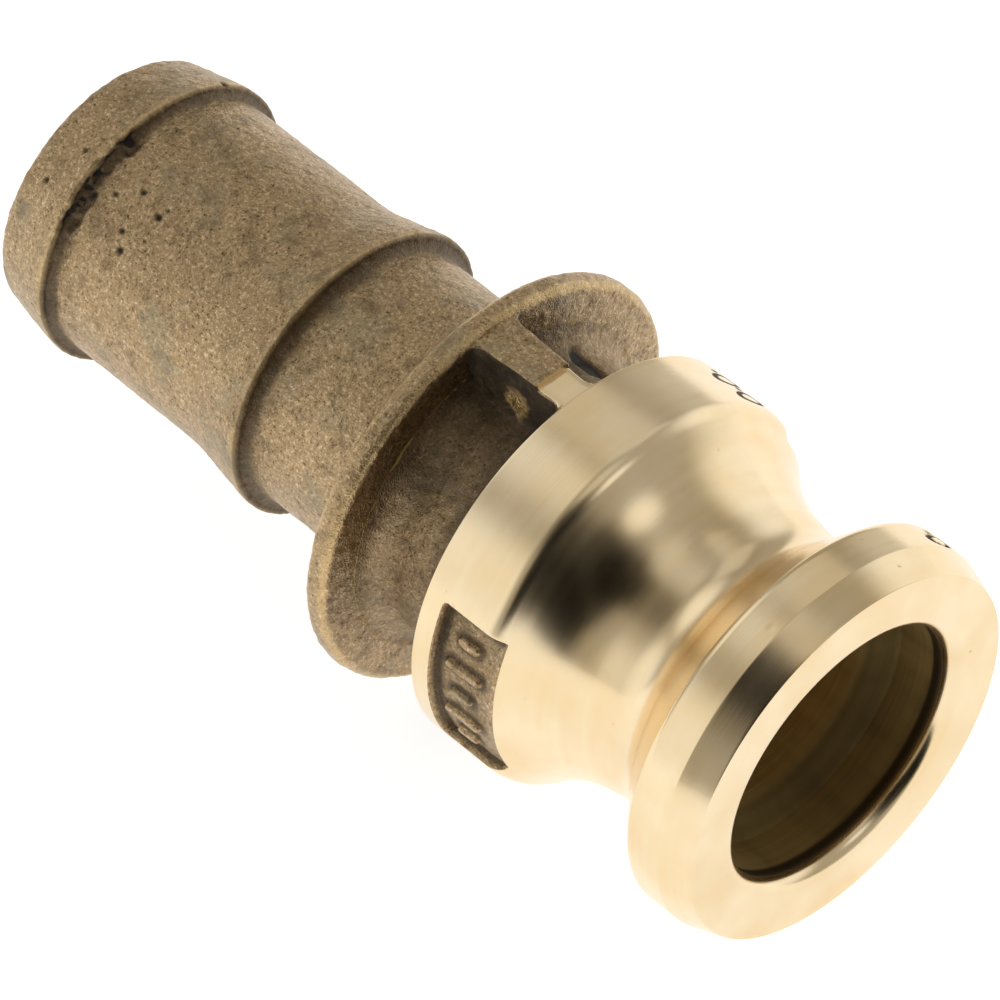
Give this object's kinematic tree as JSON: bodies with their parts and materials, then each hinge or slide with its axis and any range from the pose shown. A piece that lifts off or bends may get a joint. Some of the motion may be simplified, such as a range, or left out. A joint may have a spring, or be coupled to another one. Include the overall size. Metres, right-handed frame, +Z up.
{
  "type": "camlock coupling",
  "caption": "Male cam-and-groove adapter with a turned head, cam groove, stop collar and barbed hose shank.",
  "frame": {"origin": "centre of the flat sealing face at the head's front end", "axes": "+X out of the head along its axis, towards the female coupler; +Z up through the top web when it lies on its side; the hose shank runs towards -X"},
  "size_m": [0.1078, 0.0478, 0.0478],
  "materials": {
    "turned_brass": "lathe turned, bright and lightly satin",
    "cast_brass": "as cast in sand, tumbled, grainy and brown"
  },
  "bodies": {
    "root": {"sealing_nose": "turned_brass", "cam_groove": "turned_brass", "barrel": "turned_brass", "left_pad_marks": "cast_brass", "right_pad_marks": "cast_brass", "neck": "cast_brass", "top_web": "cast_brass", "bottom_web": "cast_brass", "collar": "cast_brass", "shank_neck": "cast_brass", "front_barb": "cast_brass", "shank": "cast_brass", "rear_barb": "cast_brass"}
  },
  "joints": []
}
